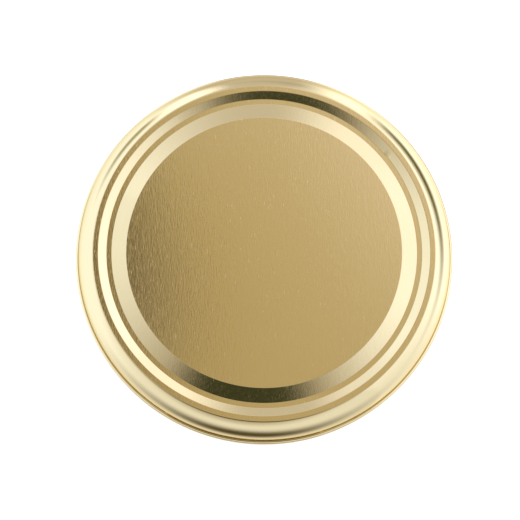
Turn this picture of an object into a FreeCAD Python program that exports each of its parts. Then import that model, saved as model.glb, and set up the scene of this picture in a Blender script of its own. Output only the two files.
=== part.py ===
"""Squat tapered preserving jar with a one-piece lug lid, as a parametric document.

The jar stands on the floor plane, +Z up, and its origin is the centre of the base.
Three pieces: the moulded glass jar, the stamped metal lid and the ring of sealing compound in the lid.
The lid is drawn seated, with its six lugs in the gaps between the six glass threads.
"""

import FreeCAD, Part
import math
import os

import Sketcher
from FreeCAD import Placement, Rotation, Vector

# Driving dimensions, in millimetres and degrees. Lid heights are measured from the lid's lower edge.
SIZES = [
    ("lid_height", 7.8, "lid, lower edge to centre panel"),
    ("metal_gauge", 0.2, "lacquered tinplate"),
    ("panel_radius", 30.9, "edge of the flat centre panel"),
    ("groove_inner", 34.2, "foot of the slope down from the panel"),
    ("groove_outer", 35.4, "foot of the slope up to the rim ring"),
    ("groove_depth", 0.7, "groove floor below the panel"),
    ("rim_inner", 37.2, "inner edge of the raised rim ring"),
    ("rim_drop", 0.1, "rim ring below the panel"),
    ("rim_outer", 38.6, "outer edge of the raised rim ring"),
    ("shoulder_slope", 26, "how steeply the shoulder leaves the rim ring"),
    ("shoulder_round", 5.4, "shoulder, from that slope to the skirt"),
    ("ring_round", 0.6, "bends at the rings"),
    ("skirt_radius", 41.9, "outside of the skirt"),
    ("curl_radius", 42.6, "widest circle of the rolled edge"),
    ("curl_height", 2.2, "rolled edge from top to bottom"),
    ("curl_slit", 0.1, "between the end of the roll and the skirt"),
    ("curl_round", 0.42, "outside bends of the roll"),
    ("lug_count", 6, "lugs on the lid and threads on the glass"),
    ("lug_radius", 39.95, "inner reach of a lug"),
    ("lug_angle", 10, "width of a lug"),
    ("seal_inner", 36.3, "inner edge of the sealing compound"),
    ("seal_chamfer", 0.3, "inner edge of the compound lower than its crown"),
    ("seal_gap", 0.08, "between compound and metal"),
    ("seal_lift", 0.13, "between compound and glass"),
    ("seal_shoulder", 38.5, "outer edge of the compound's crown"),
    ("seal_outer", 39.75, "outer edge of the compound's foot"),
    ("lid_seat", 59.2, "lid's lower edge above the floor"),
    ("rim_height", 65.65, "top of the glass"),
    ("bore_radius", 36.7, "inside of the mouth"),
    ("finish_radius", 39.6, "outside of the mouth, between threads"),
    ("rim_round", 1.1, "rounding of the glass rim"),
    ("thread_radius", 40.75, "crest of a thread"),
    ("thread_foot", 61.3, "underside of a thread at its tight end"),
    ("thread_height", 1.7, "thread at its root"),
    ("thread_under", 0.34, "height of a thread's lower flank"),
    ("thread_over", 0.595, "height of a thread's upper flank"),
    ("thread_rise", 1.2, "climb from the tight end to the entry"),
    ("thread_angle", 46, "length of a thread"),
    ("thread_root", 0.35, "how far a thread reaches into the wall"),
    ("bead_radius", 41.0, "handling ring under the lid"),
    ("bead_foot", 53.0, "lower foot of the handling ring"),
    ("bead_height", 3.9, "handling ring from foot to foot"),
    ("bead_slope", 1.2, "height of each flank of the handling ring"),
    ("wall_top", 39.4, "outside of the body under the handling ring"),
    ("wall_foot", 34.0, "outside of the body at the floor"),
    ("wall_thickness", 2.7, "side wall"),
    ("floor_height", 5.0, "inside floor"),
    ("heel_round", 4.0, "outside corner at the base"),
    ("inside_round", 4.0, "inside corner at the floor"),
    ("bearing_radius", 28.5, "inner edge of the ring it stands on"),
    ("push_up", 1.6, "hollow under the base"),
]
SKETCH_ORIGIN = (-1, 1)  # the sketch's own origin point, as Sketcher counts it
SKETCH_V_AXIS = -2
NEAR = 1e-3  # mm, for finding an edge by its size and height

doc = FreeCAD.newDocument("preserving_jar")
sheet = doc.addObject("Spreadsheet::Sheet", "Sizes")
for row, (alias, value, meaning) in enumerate(SIZES, start=1):
    sheet.set(f"A{row}", meaning)
    sheet.set(f"B{row}", str(value))
    sheet.setAlias(f"B{row}", alias)
doc.recompute()
SIZE = {alias: value for alias, value, _ in SIZES}


def origin_part(body, role):
    """The body's own origin plane or axis with this role."""
    return next(f for f in body.Origin.OriginFeatures if f.Role == role)


def new_body(label):
    body = doc.addObject("PartDesign::Body", label)
    body.Label = label
    return body


def seat(body, height, turn):
    """Stands a body at a height and turns it about the jar's axis, both as expressions."""
    about_z = Rotation(Vector(0, 0, 1), 1)
    body.Placement = Placement(Vector(), about_z)
    body.setExpression("Placement.Base.z", height)
    body.setExpression("Placement.Rotation.Angle", turn)


def section(body, name, corners):
    """A closed outline in the body's XZ plane, from (radius, height) expressions; radius "0" is the axis."""
    sketch = body.newObject("Sketcher::SketchObject", name)
    sketch.AttachmentSupport = (origin_part(body, "XZ_Plane"), [""])
    sketch.MapMode = "FlatFace"
    count = len(corners)
    rough = [Vector(30 + i, i * i, 0) for i in range(count)]  # any open shape; the constraints place it
    for i in range(count):
        sketch.addGeometry(Part.LineSegment(rough[i], rough[(i + 1) % count]))
    for i, (radius, height) in enumerate(corners):
        sketch.addConstraint(Sketcher.Constraint("Coincident", i - 1 if i else count - 1, 2, i, 1))
        if radius == "0":
            sketch.addConstraint(Sketcher.Constraint("PointOnObject", i, 1, SKETCH_V_AXIS))
        else:
            hold(sketch, "DistanceX", i, radius)
        hold(sketch, "DistanceY", i, height)
    return sketch


def hold(sketch, kind, corner, expression):
    """Holds a corner at a distance from the sketch's origin."""
    index = sketch.addConstraint(Sketcher.Constraint(kind, *SKETCH_ORIGIN, corner, 1, 1.0))
    sketch.setExpression(f"Constraints[{index}]", expression)


def revolve(body, name, sketch, angle="360", midplane=False):
    """Turns an outline about the body's axis; midplane spreads the angle to both sides of the sketch."""
    feature = body.newObject("PartDesign::Revolution", name)
    feature.Profile = sketch
    feature.ReferenceAxis = (sketch, ["V_Axis"])
    feature.Midplane = midplane
    feature.setExpression("Angle", angle)
    doc.recompute()
    return feature


def ring_edges(feature, rings):
    """Names of the circular edges that lie at these (radius, height) places."""
    names = []
    for radius, height in rings:
        found = [
            f"Edge{i}"
            for i, edge in enumerate(feature.Shape.Edges, start=1)
            if hasattr(edge.Curve, "Radius")
            and abs(edge.Curve.Radius - radius) < NEAR
            and abs(edge.Curve.Center.z - height) < NEAR
        ]
        if not found:
            raise RuntimeError(f"{feature.Name} has no ring edge of radius {radius} at height {height}")
        names += found
    return names


def round_rings(body, name, feature, rings, radius):
    """Rounds ring edges of the last feature."""
    fillet = body.newObject("PartDesign::Fillet", name)
    fillet.Base = (feature, ring_edges(feature, rings))
    fillet.setExpression("Radius", radius)
    doc.recompute()
    return fillet


def repeat_round(body, name, feature):
    """Copies a feature evenly round the body's axis, once for each lug."""
    pattern = body.newObject("PartDesign::PolarPattern", name)
    pattern.Originals = [feature]
    pattern.Axis = (origin_part(body, "Z_Axis"), [""])
    pattern.Angle = 360
    pattern.setExpression("Occurrences", "Sizes.lug_count")
    body.Tip = pattern
    doc.recompute()
    return pattern


# The glass jar: a thick-walled tapered tumbler with a handling ring and a lug finish, moulded in one piece.

jar = new_body("glass_jar")
bead_top = SIZE["bead_foot"] + SIZE["bead_height"]
jar_outline = section(jar, "jar_outline", [
    ("0", "Sizes.push_up"),
    ("Sizes.bearing_radius", "0"),
    ("Sizes.wall_foot", "0"),
    ("Sizes.wall_top", "Sizes.bead_foot"),
    ("Sizes.bead_radius", "Sizes.bead_foot + Sizes.bead_slope"),
    ("Sizes.bead_radius", "Sizes.bead_foot + Sizes.bead_height - Sizes.bead_slope"),
    ("Sizes.finish_radius", "Sizes.bead_foot + Sizes.bead_height"),
    ("Sizes.finish_radius", "Sizes.rim_height"),
    ("Sizes.bore_radius", "Sizes.rim_height"),
    ("Sizes.wall_top - Sizes.wall_thickness", "Sizes.bead_foot"),
    ("Sizes.wall_foot - Sizes.wall_thickness", "Sizes.floor_height"),
    ("0", "Sizes.floor_height"),
])
jar_blank = revolve(jar, "jar_blank", jar_outline)
jar_heel = round_rings(jar, "heel", jar_blank, [(SIZE["wall_foot"], 0)], "Sizes.heel_round")
jar_inside = round_rings(
    jar, "inside_corner", jar_heel,
    [(SIZE["wall_foot"] - SIZE["wall_thickness"], SIZE["floor_height"])], "Sizes.inside_round")
jar_rim = round_rings(
    jar, "rounded_rim", jar_inside,
    [(SIZE["finish_radius"], SIZE["rim_height"]), (SIZE["bore_radius"], SIZE["rim_height"])],
    "Sizes.rim_round")
round_rings(
    jar, "rounded_bead", jar_rim,
    [(SIZE["bead_radius"], SIZE["bead_foot"] + SIZE["bead_slope"]),
     (SIZE["bead_radius"], bead_top - SIZE["bead_slope"]),
     (SIZE["wall_top"], SIZE["bead_foot"]), (SIZE["finish_radius"], bead_top)],
    "Sizes.ring_round")

# A thread is a ridge that climbs from its tight end to its entry, one for each lug.
thread_outline = section(jar, "thread_outline", [
    ("Sizes.finish_radius - Sizes.thread_root", "Sizes.thread_foot"),
    ("Sizes.thread_radius", "Sizes.thread_foot + Sizes.thread_under"),
    ("Sizes.thread_radius", "Sizes.thread_foot + Sizes.thread_height - Sizes.thread_over"),
    ("Sizes.finish_radius - Sizes.thread_root", "Sizes.thread_foot + Sizes.thread_height"),
])
thread = jar.newObject("PartDesign::AdditiveHelix", "thread")
thread.Profile = thread_outline
thread.ReferenceAxis = (thread_outline, ["V_Axis"])
thread.Mode = "pitch-height-angle"
thread.setExpression("Pitch", "Sizes.thread_rise * 360 / Sizes.thread_angle")
thread.setExpression("Height", "Sizes.thread_rise")
doc.recompute()
repeat_round(jar, "threads", thread)

# The lid: a solid blank with the ring forms, hollowed to the metal's gauge, with the rolled edge and lugs.

lid = new_body("lid_shell")
seat(lid, "Sizes.lid_seat", "Sizes.thread_angle / 2 + 180 / Sizes.lug_count")
SHOULDER_DROP = "(Sizes.skirt_radius - Sizes.rim_outer) * tan(Sizes.shoulder_slope)"
lid_outline = section(lid, "lid_outline", [
    ("0", "Sizes.curl_height / 2"),
    ("Sizes.skirt_radius", "Sizes.curl_height / 2"),
    ("Sizes.skirt_radius", "Sizes.lid_height - Sizes.rim_drop - " + SHOULDER_DROP),
    ("Sizes.rim_outer", "Sizes.lid_height - Sizes.rim_drop"),
    ("Sizes.rim_inner", "Sizes.lid_height - Sizes.rim_drop"),
    ("Sizes.groove_outer", "Sizes.lid_height - Sizes.groove_depth"),
    ("Sizes.groove_inner", "Sizes.lid_height - Sizes.groove_depth"),
    ("Sizes.panel_radius", "Sizes.lid_height"),
    ("0", "Sizes.lid_height"),
])
lid_blank = revolve(lid, "lid_blank", lid_outline)
rim_top = SIZE["lid_height"] - SIZE["rim_drop"]
groove_floor = SIZE["lid_height"] - SIZE["groove_depth"]
shoulder_run = SIZE["skirt_radius"] - SIZE["rim_outer"]
shoulder_corner = rim_top - shoulder_run * math.tan(math.radians(SIZE["shoulder_slope"]))
lid_shoulder = round_rings(
    lid, "shoulder", lid_blank, [(SIZE["skirt_radius"], shoulder_corner)], "Sizes.shoulder_round")
lid_rings = round_rings(
    lid, "ring_bends", lid_shoulder,
    [(SIZE["rim_outer"], rim_top), (SIZE["rim_inner"], rim_top), (SIZE["groove_outer"], groove_floor),
     (SIZE["groove_inner"], groove_floor), (SIZE["panel_radius"], SIZE["lid_height"])],
    "Sizes.ring_round")
open_side = min(range(len(lid_rings.Shape.Faces)), key=lambda i: lid_rings.Shape.Faces[i].CenterOfMass.z)
lid_pan = lid.newObject("PartDesign::Thickness", "pan")
lid_pan.Base = (lid_rings, [f"Face{open_side + 1}"])
lid_pan.Reversed = True
lid_pan.setExpression("Value", "Sizes.metal_gauge")
doc.recompute()

curl_outline = section(lid, "curl_outline", [
    ("Sizes.skirt_radius - Sizes.metal_gauge", "0"),
    ("Sizes.curl_radius", "0"),
    ("Sizes.curl_radius", "Sizes.curl_height"),
    ("Sizes.skirt_radius + Sizes.curl_slit", "Sizes.curl_height"),
    ("Sizes.skirt_radius + Sizes.curl_slit", "Sizes.curl_height - Sizes.metal_gauge"),
    ("Sizes.curl_radius - Sizes.metal_gauge", "Sizes.curl_height - Sizes.metal_gauge"),
    ("Sizes.curl_radius - Sizes.metal_gauge", "Sizes.metal_gauge"),
    ("Sizes.skirt_radius", "Sizes.metal_gauge"),
    ("Sizes.skirt_radius", "Sizes.curl_height / 2"),
    ("Sizes.skirt_radius - Sizes.metal_gauge", "Sizes.curl_height / 2"),
])
curl = revolve(lid, "curl", curl_outline)
gauge = SIZE["metal_gauge"]
curl_out = round_rings(
    lid, "curl_outside", curl,
    [(SIZE["skirt_radius"] - gauge, 0), (SIZE["curl_radius"], 0), (SIZE["curl_radius"], SIZE["curl_height"])],
    "Sizes.curl_round")
round_rings(
    lid, "curl_inside", curl_out,
    [(SIZE["skirt_radius"], gauge), (SIZE["curl_radius"] - gauge, gauge),
     (SIZE["curl_radius"] - gauge, SIZE["curl_height"] - gauge)],
    "Sizes.curl_round - Sizes.metal_gauge")

lug_outline = section(lid, "lug_outline", [
    ("Sizes.lug_radius", "Sizes.metal_gauge"),
    ("Sizes.skirt_radius - Sizes.metal_gauge / 2", "Sizes.metal_gauge"),
    ("Sizes.skirt_radius - Sizes.metal_gauge / 2", "Sizes.curl_height"),
    ("Sizes.lug_radius", "Sizes.curl_height"),
])
lug = revolve(lid, "lug", lug_outline, "Sizes.lug_angle", midplane=True)
repeat_round(lid, "lugs", lug)

# The sealing compound: a ring in the channel under the rim ring, a little clear of metal and glass.

seal = new_body("sealing_ring")
# The ring's foot stands just above the glass rim, and its crown just below the metal.
SEAL_FOOT = "(Sizes.rim_height + Sizes.seal_lift)"
SEAL_CROWN = ("(Sizes.lid_seat + Sizes.lid_height - Sizes.rim_drop - Sizes.metal_gauge - Sizes.seal_gap - "
              + SEAL_FOOT + ")")
seat(seal, SEAL_FOOT, "0")
seal_outline = section(seal, "seal_outline", [
    ("Sizes.seal_inner", "0"),
    ("Sizes.seal_outer", "0"),
    ("Sizes.seal_shoulder", SEAL_CROWN),
    ("Sizes.rim_inner", SEAL_CROWN),
    ("Sizes.seal_inner", SEAL_CROWN + " - Sizes.seal_chamfer"),
])
revolve(seal, "seal_ring", seal_outline)

doc.recompute()
for thing in doc.Objects:
    if "Invalid" in thing.State or "Error" in thing.State:
        raise RuntimeError(f"{thing.Name} failed: {thing.State}")
os.makedirs("parts", exist_ok=True)
for body in (jar, lid, seal):
    if body.Shape.isNull() or not body.Shape.isValid():
        raise RuntimeError(f"{body.Label} has no valid shape")
    print(body.Label, round(body.Shape.Volume, 1), len(body.Shape.Solids), body.Shape.BoundBox)
for body in (jar, lid, seal):
    body.Shape.exportStep(f"parts/{body.Label}.step")
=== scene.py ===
import bpy
import numpy as np
from mathutils import Matrix, Vector


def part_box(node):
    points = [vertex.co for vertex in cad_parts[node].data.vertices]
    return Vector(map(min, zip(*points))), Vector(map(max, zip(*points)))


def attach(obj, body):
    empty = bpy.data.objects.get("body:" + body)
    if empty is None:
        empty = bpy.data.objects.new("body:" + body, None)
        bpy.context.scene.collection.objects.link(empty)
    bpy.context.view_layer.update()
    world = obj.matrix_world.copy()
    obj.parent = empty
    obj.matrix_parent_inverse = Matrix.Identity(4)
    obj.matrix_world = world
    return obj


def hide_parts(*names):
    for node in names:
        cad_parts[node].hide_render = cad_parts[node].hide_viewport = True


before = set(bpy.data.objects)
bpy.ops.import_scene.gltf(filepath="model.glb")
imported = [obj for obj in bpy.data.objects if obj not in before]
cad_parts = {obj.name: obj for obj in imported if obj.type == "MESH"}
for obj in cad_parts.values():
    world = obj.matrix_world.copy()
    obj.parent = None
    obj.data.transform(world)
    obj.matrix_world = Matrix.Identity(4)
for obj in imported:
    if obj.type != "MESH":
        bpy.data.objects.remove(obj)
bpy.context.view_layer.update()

# ---------------------------------------------------------------------------------------------------
# The lid. One disc of tinplate, lacquered clear gold, stamped into a flat centre panel, a ring groove,
# a raised rim ring and a rounded shoulder. The edge of its skirt is rolled outward, and the roll is
# pressed inward at six places to make the lugs that catch under the glass threads.
# ---------------------------------------------------------------------------------------------------

MM = 0.001
lid_low, lid_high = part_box("lid_shell")
lid_foot, lid_top = lid_low.z / MM, lid_high.z / MM

gauge = 0.2
panel_edge, groove_inner, groove_outer, rim_inner, rim_outer = 30.9, 34.2, 35.4, 37.2, 38.47
groove_depth, rim_drop = 0.7, 0.1
skirt_radius, curl_radius, curl_height = 41.9, 42.6, 2.2
curl_slit, curl_ramp = 0.03, 0.45
raw_edge_share, feather = 0.1, 0.5
ring_bend, rim_bend, shoulder_round, curl_bend = 0.6, 1.0, 5.2, 0.32
shoulder_slope = np.radians(23.5)


def bent_line(corners, bends, points_per_bend=8, guard=0.04):
    """Centre line of a bent strip: straight runs between the corners, each inner corner replaced by the
    arc of its bend radius that touches both runs. A guard point stands close outside each arc's end, so
    that smooth shading stays flat on the runs."""
    corners = np.asarray(corners, float)
    pieces = [corners[:1]]
    for before, here, after, bend in zip(corners[:-2], corners[1:-1], corners[2:], bends):
        arriving = (here - before) / np.linalg.norm(here - before)
        leaving = (after - here) / np.linalg.norm(after - here)
        cross = arriving[0] * leaving[1] - arriving[1] * leaving[0]
        turn = np.arctan2(abs(cross), arriving @ leaving)
        inward = np.sign(cross) * np.array([-arriving[1], arriving[0]])
        start = here - arriving * bend * np.tan(turn / 2)
        angle = np.linspace(0, turn, points_per_bend)[:, None]
        arc = start + inward * bend * (1 - np.cos(angle)) + arriving * bend * np.sin(angle)
        pieces += [arc[:1] - arriving * guard, arc, arc[-1:] + leaving * guard]
    return np.vstack(pieces + [corners[-1:]])


def filled(line, longest):
    """The same line with evenly spaced points added wherever two points are further apart than longest."""
    gaps = np.linalg.norm(np.diff(line, axis=0), axis=1)
    parts = np.maximum(1, np.ceil(gaps / longest).astype(int))
    share = np.concatenate([np.arange(n) / n for n in parts])
    first = np.repeat(np.arange(len(parts)), parts)
    return np.vstack([line[first] + share[:, None] * (line[first + 1] - line[first]), line[-1:]])


def line_normals(line):
    """Unit normals on the left of a line, from the direction between each point's two neighbours."""
    along = np.gradient(line, axis=0)
    along /= np.linalg.norm(along, axis=1, keepdims=True)
    return np.stack([-along[:, 1], along[:, 0]], axis=1)


def turned_mesh(name, radius, height, turn, closed_outline=False):
    """A surface of turning on a grid. radius and height are arrays of outline points by turns, in
    millimetres, and turn holds the angles. Point (i, j) lies at radius times (cos, sin) of angle j.
    An open outline starts and ends on the axis, and each end closes in one point with a fan."""
    rows, steps = radius.shape
    spread = np.stack([radius * np.cos(turn), radius * np.sin(turn), height], axis=-1) * MM
    index = np.arange(rows * steps).reshape(rows, steps)
    following = np.roll(index, -1, axis=1)
    if closed_outline:
        below, below_following = np.roll(index, -1, axis=0), np.roll(following, -1, axis=0)
        quads = np.stack([index, below, below_following, following], axis=-1).reshape(-1, 4)
        points, faces = spread.reshape(-1, 3), quads.tolist()
    else:
        inner = index[1:-1] - steps
        following = np.roll(inner, -1, axis=1)
        quads = np.stack([inner[:-1], inner[1:], following[1:], following[:-1]], axis=-1).reshape(-1, 4)
        count = inner.size
        first_fan = np.stack([np.full(steps, count), inner[0], following[0]], axis=-1)
        last_fan = np.stack([np.full(steps, count + 1), following[-1], inner[-1]], axis=-1)
        points = np.vstack([spread[1:-1].reshape(-1, 3), spread[0, :1], spread[-1, :1]])
        faces = quads.tolist() + first_fan.tolist() + last_fan.tolist()
        quads = np.vstack([quads, np.column_stack([first_fan, first_fan[:, 2]])])
    a, b, c = (points[quads[:, k]] for k in (0, 1, 2))
    if (np.cross(b - a, c - a) * a).sum() < 0:
        faces = [face[::-1] for face in faces]
    mesh = bpy.data.meshes.new(name)
    mesh.from_pydata(points.tolist(), [], faces)
    mesh.shade_smooth()
    piece = bpy.data.objects.new(name, mesh)
    bpy.context.scene.collection.objects.link(piece)
    return piece


def soft_step(value, low, high):
    """0 below low, 1 above high, and 3t^2 - 2t^3 between."""
    t = np.clip((value - low) / (high - low), 0, 1)
    return t * t * (3 - 2 * t)


half = gauge / 2
skin_top, skirt_line, curl_line = lid_top - half, skirt_radius - half, curl_radius - half
curl_low, curl_high = lid_foot + half, lid_foot + curl_height - half
lid_corners = [
    (0, skin_top),
    (panel_edge, skin_top),
    (groove_inner, skin_top - groove_depth),
    (groove_outer, skin_top - groove_depth),
    (rim_inner, skin_top - rim_drop),
    (rim_outer, skin_top - rim_drop),
    (skirt_line, skin_top - rim_drop - (skirt_line - rim_outer) * np.tan(shoulder_slope)),
    (skirt_line, curl_low),
    (curl_line, curl_low),
    (curl_line, curl_high - curl_ramp),
    (skirt_radius + curl_slit, curl_high),
]
lid_bends = [ring_bend] * 4 + [rim_bend, shoulder_round - half] + [curl_bend] * 3
lid_line = filled(bent_line(lid_corners, lid_bends, points_per_bend=12, guard=0.02), longest=1.5)
from_edge = np.linalg.norm(lid_line - lid_line[-1], axis=1)[:, None]
lid_side = line_normals(lid_line) * half * np.clip(raw_edge_share + from_edge / feather, 0, 1)
outline = np.vstack([lid_line + lid_side, (lid_line - lid_side)[::-1]])
outline[[0, -1], 0] = 0
centre_line = np.vstack([lid_line, lid_line[::-1]])

steps_round = 400
turn = np.linspace(0, 2 * np.pi, steps_round, endpoint=False)[None, :]
radius = np.repeat(outline[:, :1], turn.size, axis=1)
height = np.repeat(outline[:, 1:], turn.size, axis=1)

# Each lug: the roll's inner wall and foot pressed towards the axis, fading out up the skirt and sideways.
lug_count, lug_reach, lug_offset = 6, 1.7, np.radians(53)
lug_flat, lug_half = np.radians(6.5) * 0.55, np.radians(6.5)
pressed_below, pressed_to = 1.1, 1.9
from_lug = (turn - lug_offset + np.pi / lug_count) % (2 * np.pi / lug_count) - np.pi / lug_count
beside = 1 - soft_step(np.abs(from_lug), lug_flat, lug_half)
in_roll = 1 - soft_step(centre_line[:, 1:], lid_foot + pressed_below, lid_foot + pressed_to)
on_inside = np.clip((curl_line - centre_line[:, :1]) / (curl_line - skirt_line), 0, 1)
on_lid_edge = centre_line[:, :1] > rim_outer
radius = radius - lug_reach * beside * in_roll * on_inside * on_lid_edge

# The stamping left a small step in the groove's outer crease. The centre panel is very slightly domed,
# which sets the rings round it a little lower.
dome, dome_foot, dome_full = 0.13, 3, 6
across_panel = np.clip(centre_line[:, :1] / panel_edge, 0, 1)
height = height - dome * across_panel**2 * soft_step(height, lid_foot + dome_foot, lid_foot + dome_full)
step_turn, step_size, step_width = np.radians(38.9), 0.13, 0.55
step_after, step_before = np.radians(25), np.radians(3)
past_step = (turn - step_turn) % (2 * np.pi)
step_fade = np.exp(-past_step / step_after) - np.exp(-(2 * np.pi - past_step) / step_before)
near_crease = np.exp(-(((centre_line[:, :1] - groove_outer) / step_width) ** 2))
radius = radius - step_size * near_crease * step_fade

lid = turned_mesh("lid", radius, height, turn)


def gold_lacquer():
    """Bright tinplate under clear gold lacquer. The steel's rolling grain, long one way and fine the other,
    shows through as a faint ripple and as duller streaks, with a few handling scratches. The lacquer's
    colour deepens where the metal is seen edge-on."""
    finish = bpy.data.materials.new("gold_lacquer")
    finish.use_nodes = True
    nodes, links = finish.node_tree.nodes, finish.node_tree.links
    surface = nodes["Principled BSDF"]
    place = nodes.new("ShaderNodeTexCoord").outputs["Object"]

    def noise(rotation, stretch, detail, rough):
        """A noise whose cells are one over stretch metres long on each axis, turned about Z."""
        mapping = nodes.new("ShaderNodeMapping")
        mapping.inputs["Rotation"].default_value = (0, 0, np.radians(rotation))
        mapping.inputs["Scale"].default_value = stretch
        texture = nodes.new("ShaderNodeTexNoise")
        texture.inputs["Scale"].default_value = 1.0
        texture.inputs["Detail"].default_value = detail
        texture.inputs["Roughness"].default_value = rough
        links.new(place, mapping.inputs["Vector"])
        links.new(mapping.outputs["Vector"], texture.inputs["Vector"])
        return texture.outputs["Fac"]

    def ranged(value, low, high, bottom, top):
        remap = nodes.new("ShaderNodeMapRange")
        remap.interpolation_type = "SMOOTHSTEP"
        for name, number in (("From Min", low), ("From Max", high), ("To Min", bottom), ("To Max", top)):
            remap.inputs[name].default_value = number
        links.new(value, remap.inputs["Value"])
        return remap.outputs["Result"]

    def ripple(value, depth, under=None):
        bump = nodes.new("ShaderNodeBump")
        bump.inputs["Strength"].default_value = 1.0
        bump.inputs["Distance"].default_value = depth
        links.new(value, bump.inputs["Height"])
        if under is not None:
            links.new(under, bump.inputs["Normal"])
        return bump.outputs["Normal"]

    rolling_angle, scratch_angle = -17, -22
    grain_depth, cloud_depth, scratch_depth = 0.000005, 0.000003, 0.000003
    grain = noise(rolling_angle, (5000, 750, 5000), 2.0, 0.55)
    cloud = noise(rolling_angle, (1500, 500, 1500), 2.0, 0.5)
    scratch = ranged(noise(scratch_angle, (5200, 450, 5200), 1.0, 0.5), 0.72, 0.8, 0, 1)
    blotch = noise(0, (60, 60, 60), 3.0, 0.55)

    tint = nodes.new("ShaderNodeMix")
    tint.data_type = "RGBA"
    tint.inputs["A"].default_value = (0.90, 0.69, 0.36, 1)
    tint.inputs["B"].default_value = (0.93, 0.715, 0.385, 1)
    links.new(blotch, tint.inputs["Factor"])
    links.new(tint.outputs["Result"], surface.inputs["Base Color"])
    links.new(ranged(grain, 0.4, 0.75, 0.06, 0.16), surface.inputs["Roughness"])
    rippled = ripple(scratch, scratch_depth, ripple(cloud, cloud_depth, ripple(grain, grain_depth)))
    links.new(rippled, surface.inputs["Normal"])
    surface.inputs["Metallic"].default_value = 1.0
    surface.inputs["Specular Tint"].default_value = (0.88, 0.72, 0.42, 1)
    surface.inputs["Coat Weight"].default_value = 0.25
    surface.inputs["Coat Roughness"].default_value = 0.06
    surface.inputs["Coat IOR"].default_value = 1.5
    return finish


lid.data.materials.append(gold_lacquer())
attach(lid, "lid")
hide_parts("lid_shell")

# ---------------------------------------------------------------------------------------------------
# The sealing ring. Soft cream compound, flowed as a liquid into the channel under the lid's rim ring and
# baked there. It is smooth with rounded edges, and the glass rim has left a shallow track in it.
# ---------------------------------------------------------------------------------------------------

seal_low, seal_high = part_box("sealing_ring")
seal_foot, seal_crown, seal_outer = seal_low.z / MM, seal_high.z / MM, seal_high.x / MM
seal_inner, seal_middle, seal_shoulder, seal_chamfer, seal_bend = 36.3, 38.0, 38.5, 0.3, 0.14
track_middle, track_depth, track_flat, track_half = (37.0 + 39.6) / 2, 0.1, 1.1 * 0.6, 1.1
wave_depth, under_side = 0.03, 0.01
seal_corners = [
    (seal_middle, seal_foot),
    (seal_inner, seal_foot),
    (seal_inner, seal_crown - seal_chamfer),
    (rim_inner, seal_crown),
    (seal_shoulder, seal_crown),
    (seal_outer, seal_foot),
    (seal_middle, seal_foot),
]
seal_line = bent_line(seal_corners, [seal_bend] * 5, points_per_bend=6, guard=0.02)
seal_line = filled(seal_line, longest=0.12)[:-1]
radius = np.repeat(seal_line[:, :1], turn.size, axis=1)
height = np.repeat(seal_line[:, 1:], turn.size, axis=1)
lower = height < seal_foot + under_side
wave = wave_depth * (1 + np.sin(5 * turn + 1.3) * np.sin(3 * turn))
track = 1 - soft_step(np.abs(radius - track_middle), track_flat, track_half)
height = height + lower * (track_depth * track + wave * (1 - track))
seal = turned_mesh("sealing_compound", radius, height, turn, closed_outline=True)


def flowed_compound():
    """Soft vinyl compound: matt cream, faintly mottled, with tiny pits where bubbles broke as it baked."""
    finish = bpy.data.materials.new("flowed_compound")
    finish.use_nodes = True
    nodes, links = finish.node_tree.nodes, finish.node_tree.links
    surface = nodes["Principled BSDF"]
    place = nodes.new("ShaderNodeTexCoord").outputs["Object"]
    mottle = nodes.new("ShaderNodeTexNoise")
    mottle.inputs["Scale"].default_value = 350
    mottle.inputs["Detail"].default_value = 4
    pits = nodes.new("ShaderNodeTexVoronoi")
    pits.inputs["Scale"].default_value = 900
    shade = nodes.new("ShaderNodeValToRGB")
    shade.color_ramp.elements[0].color = (0.78, 0.73, 0.60, 1)
    shade.color_ramp.elements[1].color = (0.88, 0.85, 0.75, 1)
    dent = nodes.new("ShaderNodeMapRange")
    dent.inputs["From Max"].default_value = 0.25
    bump = nodes.new("ShaderNodeBump")
    bump.inputs["Distance"].default_value = 0.00003
    gloss = nodes.new("ShaderNodeMapRange")
    gloss.inputs["To Min"].default_value = 0.38
    gloss.inputs["To Max"].default_value = 0.55
    links.new(place, mottle.inputs["Vector"])
    links.new(place, pits.inputs["Vector"])
    links.new(mottle.outputs["Fac"], shade.inputs["Fac"])
    links.new(mottle.outputs["Fac"], gloss.inputs["Value"])
    links.new(pits.outputs["Distance"], dent.inputs["Value"])
    links.new(dent.outputs["Result"], bump.inputs["Height"])
    links.new(shade.outputs["Color"], surface.inputs["Base Color"])
    links.new(gloss.outputs["Result"], surface.inputs["Roughness"])
    links.new(bump.outputs["Normal"], surface.inputs["Normal"])
    return finish


seal.data.materials.append(flowed_compound())
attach(seal, "lid_lift_body")
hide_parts("sealing_ring")

# ---------------------------------------------------------------------------------------------------
# The jar. Clear soda-lime glass, pressed and blown in a two-part mould in one piece: a tapered body on a
# ring foot, a handling ring, and a mouth with six sloping threads. The mould's joints show as fine seams.
# ---------------------------------------------------------------------------------------------------

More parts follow.
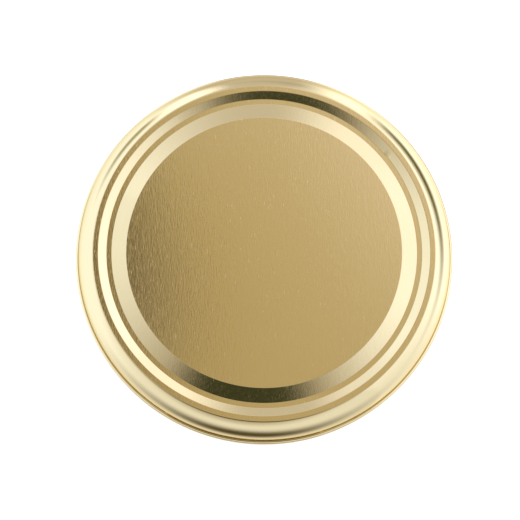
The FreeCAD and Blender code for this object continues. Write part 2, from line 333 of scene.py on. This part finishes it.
jar_low, jar_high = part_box("glass_jar")
rim_top = jar_high.z / MM
bore, finish_wall, thread_crest = 36.7, 39.6, 40.75
bead_foot, bead_height, bead_slope, bead_crest = 53.0, 3.9, 1.2, 41.0
wall_top, wall_foot, wall = 39.4, 34.0, 2.7
floor_height, floor_dip, bearing_edge, push_up = 5.0, 0.3, 28.5, 1.6
arch_radius, arch_height = bearing_edge - 6, push_up * 0.75
jar_corners = [
    (0, push_up),
    (arch_radius, arch_height),
    (bearing_edge, 0),
    (wall_foot, 0),
    (wall_top, bead_foot),
    (bead_crest, bead_foot + bead_slope),
    (bead_crest, bead_foot + bead_height - bead_slope),
    (finish_wall, bead_foot + bead_height),
    (finish_wall, rim_top),
    (bore, rim_top),
    (wall_top - wall, bead_foot),
    (wall_foot - wall, floor_height),
    (0, floor_height - floor_dip),
]
jar_bends = [12.0, 1.2, 4.0, 0.9, 0.8, 0.8, 0.7, 1.3, 1.3, 8.0, 4.6]
jar_line = bent_line(jar_corners, jar_bends, points_per_bend=9)
wall_spacing, thread_spacing, hair = 1.6, 0.11, 0.01
on_finish = (jar_line[:, 1] > bead_foot + bead_height) & (jar_line[:, 0] > finish_wall - hair)
jar_line = np.vstack([
    filled(jar_line[: np.argmax(on_finish)], wall_spacing),
    filled(jar_line[on_finish], thread_spacing),
    filled(jar_line[np.argmax(on_finish) + on_finish.sum():], wall_spacing),
])
radius = np.repeat(jar_line[:, :1], turn.size, axis=1)
height = np.repeat(jar_line[:, 1:], turn.size, axis=1)

# Threads: a ridge of rounded section whose middle climbs from the tight end to the entry, faded at both ends.
thread_count, thread_arc, thread_rise = 6, np.radians(46), 1.2
thread_foot, thread_height, thread_line = 61.3, 1.7, 0.46
ridge_flat, ridge_half, entry_share, tight_share = 0.30, 0.85, 0.88, 0.09
bead_clear, finish_skin = 0.5, 0.6
share = (turn % (2 * np.pi / thread_count)) / thread_arc
ridge_middle = thread_foot + thread_height * thread_line + thread_rise * np.clip(share, 0, 1)
across = np.abs(height - ridge_middle)
ends = soft_step(share, 0, tight_share) * (1 - soft_step(share, entry_share, 1))
ridge = (1 - soft_step(across, ridge_flat, ridge_half)) * ends
above_bead = height > bead_foot + bead_height + bead_clear
on_outside = radius > finish_wall - finish_skin
radius = radius + (thread_crest - finish_wall) * ridge * above_bead * on_outside

# Mould seams down both sides, and the slow waviness of moulded glass, outside and inside.
outer_side = (np.arange(len(jar_line)) < np.argmax(jar_line[:, 1] >= rim_top - 0.001))[:, None]
seam_turn, seam_rise, seam_half, seam_foot = np.radians(20), 0.09, 0.22, 1.0
seam_away = np.abs((turn - seam_turn + np.pi / 2) % np.pi - np.pi / 2) * finish_wall
on_wall = outer_side * (height > seam_foot) * (radius > wall_foot - 1.0)
seam = seam_rise * np.exp(-((seam_away / seam_half) ** 2)) * on_wall
waves_start, waves_full, waves_end = 0.5, 6.0, 4


def glass_wave(depth, count, lean, start=0.0):
    """A sine of the given depth, count times round the jar, moved one radian on by every lean mm up."""
    return depth * np.sin(count * turn + height / lean + start)


outer_waves = glass_wave(0.035, 3, 9.0) + glass_wave(0.02, 7, -5.0, 2.0)
inner_waves = glass_wave(0.06, 2, 14.0, 1.0) + glass_wave(0.03, 5, 7.0)
below_bead = 1 - soft_step(height, bead_foot - waves_end, bead_foot)
waviness = soft_step(height, waves_start, waves_full) * below_bead
radius = radius + seam + np.where(outer_side, outer_waves, inner_waves) * waviness
radius[[0, -1]] = 0

jar = turned_mesh("jar", radius, height, turn)


def clear_glass():
    """Clear soda-lime glass with a trace of green, with a faint orange-peel ripple from the mould's face."""
    finish = bpy.data.materials.new("clear_glass")
    finish.use_nodes = True
    nodes, links = finish.node_tree.nodes, finish.node_tree.links
    surface = nodes["Principled BSDF"]
    place = nodes.new("ShaderNodeTexCoord").outputs["Object"]
    peel = nodes.new("ShaderNodeTexNoise")
    peel.inputs["Scale"].default_value = 160
    peel.inputs["Detail"].default_value = 2
    bump = nodes.new("ShaderNodeBump")
    bump.inputs["Distance"].default_value = 0.00004
    gloss = nodes.new("ShaderNodeMapRange")
    gloss.inputs["To Min"].default_value = 0.0
    gloss.inputs["To Max"].default_value = 0.03
    tint = nodes.new("ShaderNodeMix")
    tint.data_type = "RGBA"
    tint.inputs["A"].default_value = (0.965, 0.985, 0.975, 1)
    tint.inputs["B"].default_value = (0.985, 0.997, 0.99, 1)
    links.new(place, peel.inputs["Vector"])
    links.new(peel.outputs["Fac"], bump.inputs["Height"])
    links.new(peel.outputs["Fac"], gloss.inputs["Value"])
    links.new(peel.outputs["Fac"], tint.inputs["Factor"])
    links.new(tint.outputs["Result"], surface.inputs["Base Color"])
    links.new(gloss.outputs["Result"], surface.inputs["Roughness"])
    links.new(bump.outputs["Normal"], surface.inputs["Normal"])
    surface.inputs["Transmission Weight"].default_value = 1.0
    surface.inputs["IOR"].default_value = 1.52
    return finish


jar.data.materials.append(clear_glass())
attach(jar, "jar")
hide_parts("glass_jar")

# ---------------------------------------------------------------------------------------------------
# The table. A wide sheet of matt board that the jar stands on, a little warm against the studio's cool
# light, and evenly lit from below like a light table. Mirrored and refracted rays pass through it.
# ---------------------------------------------------------------------------------------------------

reach = 1.5
sheet_mesh = bpy.data.meshes.new("table")
sheet_corners = [(-reach, -reach, 0), (reach, -reach, 0), (reach, reach, 0), (-reach, reach, 0)]
sheet_mesh.from_pydata(sheet_corners, [], [(0, 1, 2, 3)])
table = bpy.data.objects.new("table", sheet_mesh)
bpy.context.scene.collection.objects.link(table)
board = bpy.data.materials.new("white_board")
board.use_nodes = True
surface = board.node_tree.nodes["Principled BSDF"]
surface.inputs["Base Color"].default_value = (0.9, 0.8, 0.67, 1)
surface.inputs["Roughness"].default_value = 0.9
surface.inputs["Emission Color"].default_value = (1, 1, 1, 1)
surface.inputs["Emission Strength"].default_value = 0.6
sheet_mesh.materials.append(board)
table.visible_glossy = False
table.visible_transmission = False

# ---------------------------------------------------------------------------------------------------
# The studio. A white tent stands round the table: bright walls to the right and left, a grey flap in
# front, a grey gap at the back that runs over the top, and the dark camera looking in. The patches'
# places, sizes and lights came from a least-squares fit, were rounded, and a few were then adjusted.
# ---------------------------------------------------------------------------------------------------

world = bpy.data.worlds.new("studio")
bpy.context.scene.world = world
world.use_nodes = True
sky, wires = world.node_tree.nodes, world.node_tree.links
looking = sky.new("ShaderNodeTexCoord").outputs["Generated"]


def patch(under, compass, from_zenith, half_across, half_along, blur, light):
    """Lays a soft-edged oval of light over what is under it. compass is its middle's angle from +X about
    the vertical, from_zenith its angle down from overhead, and the halves are its half-sizes across and
    along that line, in degrees. It fades out over blur either side of its edge, as a share of its size."""
    face = sky.new("ShaderNodeMapping")
    face.vector_type = "VECTOR"
    about_vertical = Matrix.Rotation(np.radians(-compass), 3, "Z")
    upright = Matrix.Rotation(np.radians(-from_zenith), 3, "Y") @ about_vertical
    along = 1 / np.sin(np.radians(half_along))
    across = 1 / np.sin(np.radians(half_across))
    face.inputs["Rotation"].default_value = upright.to_euler("XYZ")
    wires.new(looking, face.inputs["Vector"])
    flat = sky.new("ShaderNodeVectorMath")
    flat.operation = "MULTIPLY"
    flat.inputs[1].default_value = (along, across, 0)
    wires.new(face.outputs["Vector"], flat.inputs[0])
    reach = sky.new("ShaderNodeVectorMath")
    reach.operation = "LENGTH"
    wires.new(flat.outputs["Vector"], reach.inputs[0])
    parts = sky.new("ShaderNodeSeparateXYZ")
    wires.new(face.outputs["Vector"], parts.inputs[0])
    facing = sky.new("ShaderNodeMath")
    facing.operation = "GREATER_THAN"
    facing.inputs[1].default_value = 0.0
    wires.new(parts.outputs["Z"], facing.inputs[0])
    fade = sky.new("ShaderNodeMapRange")
    fade.interpolation_type = "SMOOTHSTEP"
    fade.inputs["From Min"].default_value = 1 + blur
    fade.inputs["From Max"].default_value = 1 - blur
    wires.new(reach.outputs["Value"], fade.inputs["Value"])
    cover = sky.new("ShaderNodeMath")
    cover.operation = "MULTIPLY"
    wires.new(fade.outputs["Result"], cover.inputs[0])
    wires.new(facing.outputs["Value"], cover.inputs[1])
    blend = sky.new("ShaderNodeMix")
    blend.data_type = "RGBA"
    blend.inputs["B"].default_value = (*light, 1)
    wires.new(cover.outputs["Value"], blend.inputs["Factor"])
    if isinstance(under, tuple):
        blend.inputs["A"].default_value = (*under, 1)
    else:
        wires.new(under, blend.inputs["A"])
    return blend.outputs["Result"]


tent = (0.88, 0.99, 1.15)
for compass, from_zenith, half_across, half_along, blur, light in [
    (46.5, 90, 63, 85, 0.24, (1.35, 1.56, 2.00)),      # right wall
    (151.5, 90, 59, 57, 0.21, (1.13, 1.34, 1.71)),     # left wall
    (87.5, 83, 28, 68, 0.26, (0.62, 0.65, 0.70)),      # grey gap at the back
    (78.5, 0, 12.7, 22.5, 0.72, (0.39, 0.29, 0.01)),   # the gap's end overhead
    (113, 13.6, 1.85, 4.8, 0.35, (0.05, 0.04, 0.02)),  # shaded seam left of overhead
    (37, 78, 33.5, 13, 0.84, (0.14, 0.15, 0.06)),      # dark fitting, back right
    (129, 80, 14.5, 9.5, 0.76, (0.41, 0.45, 0.37)),    # dark fitting, back left
    (67, 82, 8.8, 44.5, 0.76, (1.45, 1.63, 1.97)),     # bright fold right of the gap
    (111.5, 75.5, 8.9, 26, 0.49, (1.46, 1.60, 2.00)),  # bright fold left of the gap
    (256.5, 22.5, 23, 25, 0.59, (0.42, 0.42, 0.40)),   # grey front flap
    (47, 24.5, 12.5, 9, 0.68, (1.28, 1.26, 1.54)),     # bright seam, right
    (258, 17, 13, 8, 0.41, (0.045, 0.055, 0.03)),      # the camera
    (263, 108, 35, 21.5, 0.78, (0.10, 0.09, 0.05)),    # dark room below the front
]:
    tent = patch(tent, compass, from_zenith, half_across, half_along, blur, light)
seen = sky.new("ShaderNodeLightPath").outputs["Is Camera Ray"]
backdrop = sky.new("ShaderNodeMix")
backdrop.data_type = "RGBA"
backdrop.inputs["B"].default_value = (1, 1, 1, 1)
wires.new(seen, backdrop.inputs["Factor"])
wires.new(tent, backdrop.inputs["A"])
wires.new(backdrop.outputs["Result"], sky["Background"].inputs["Color"])

# ---------------------------------------------------------------------------------------------------
# The camera. It looks down on the lid from 0.6 m, tilted a little towards the front.
# ---------------------------------------------------------------------------------------------------

tilt, distance = np.radians(11.7), 0.6
focal_length, sensor = 185.6, 36.0
aside, above = -0.94 * MM, -1.97 * MM
toward_camera = Vector((0, -np.sin(tilt), np.cos(tilt)))
upward = Vector((0, np.cos(tilt), np.sin(tilt)))
aim = Vector((0, 0, lid_top * MM)) + Vector((1, 0, 0)) * aside + upward * above
lens = bpy.data.cameras.new("camera")
lens.lens, lens.sensor_width = focal_length, sensor
lens.clip_start, lens.clip_end = 0.01, 20.0
camera = bpy.data.objects.new("camera", lens)
camera.location = aim + toward_camera * distance
camera.rotation_mode = "QUATERNION"
camera.rotation_quaternion = toward_camera.to_track_quat("Z", "Y")
bpy.context.scene.collection.objects.link(camera)
bpy.context.scene.camera = camera
bpy.context.scene.view_settings.view_transform = "Standard"
